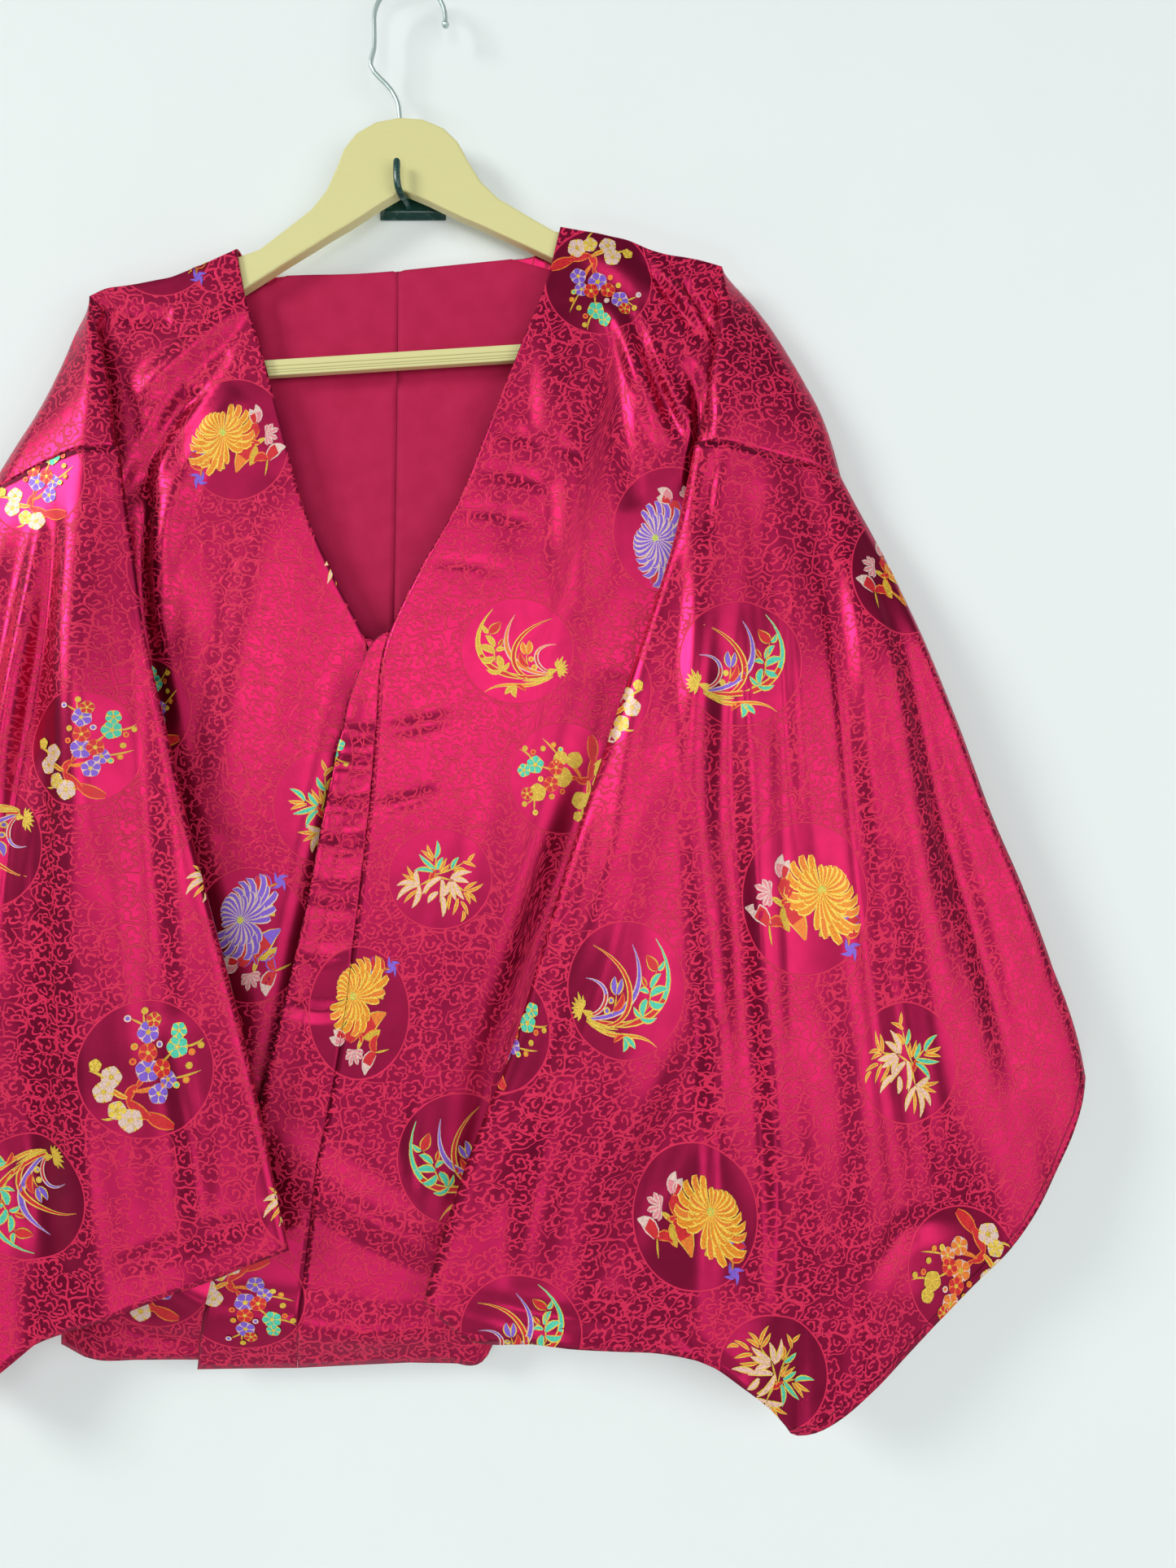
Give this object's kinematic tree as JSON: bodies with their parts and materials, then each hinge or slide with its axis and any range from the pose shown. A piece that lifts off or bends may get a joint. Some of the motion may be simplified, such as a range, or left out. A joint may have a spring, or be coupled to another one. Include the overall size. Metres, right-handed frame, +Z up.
{
  "type": "haori on a wooden hanger and wall hook",
  "caption": "Short open-fronted haori jacket of patterned satin with wide bag sleeves, hung on a wooden hanger that rests on a wall hook.",
  "frame": {"origin": "middle of the wall hook plate's flat back face, so the wall is the plane y = 0", "axes": "+X to the viewer's right, +Y into the wall, +Z up; the garment hangs in front of the wall, at negative y"},
  "size_m": [0.9212, 0.0671, 0.978],
  "materials": {
    "body_left": "satin brocade with a woven pattern",
    "body_right": "satin brocade with a woven pattern",
    "band_left": "satin brocade with a woven pattern",
    "band_right": "satin brocade with a woven pattern",
    "sleeve_left": "satin brocade with a woven pattern",
    "sleeve_right": "satin brocade with a woven pattern",
    "lining_left": "plain matte woven lining",
    "lining_right": "plain matte woven lining",
    "hanger_wood": "pale, smooth, lacquered",
    "hanger_bar": "pale, smooth, lacquered",
    "hanger_hook": "drawn wire",
    "wall_plate": "dark green gloss",
    "wall_prong": "dark green gloss"
  },
  "bodies": {
    "root": {"body_left": "body_left", "body_right": "body_right", "band_left": "band_left", "band_right": "band_right", "sleeve_left": "sleeve_left", "sleeve_right": "sleeve_right", "lining_left": "lining_left", "lining_right": "lining_right", "hanger_wood": "hanger_wood", "hanger_bar": "hanger_bar", "hanger_hook": "hanger_hook", "wall_plate": "wall_plate", "wall_prong": "wall_prong"}
  },
  "joints": []
}
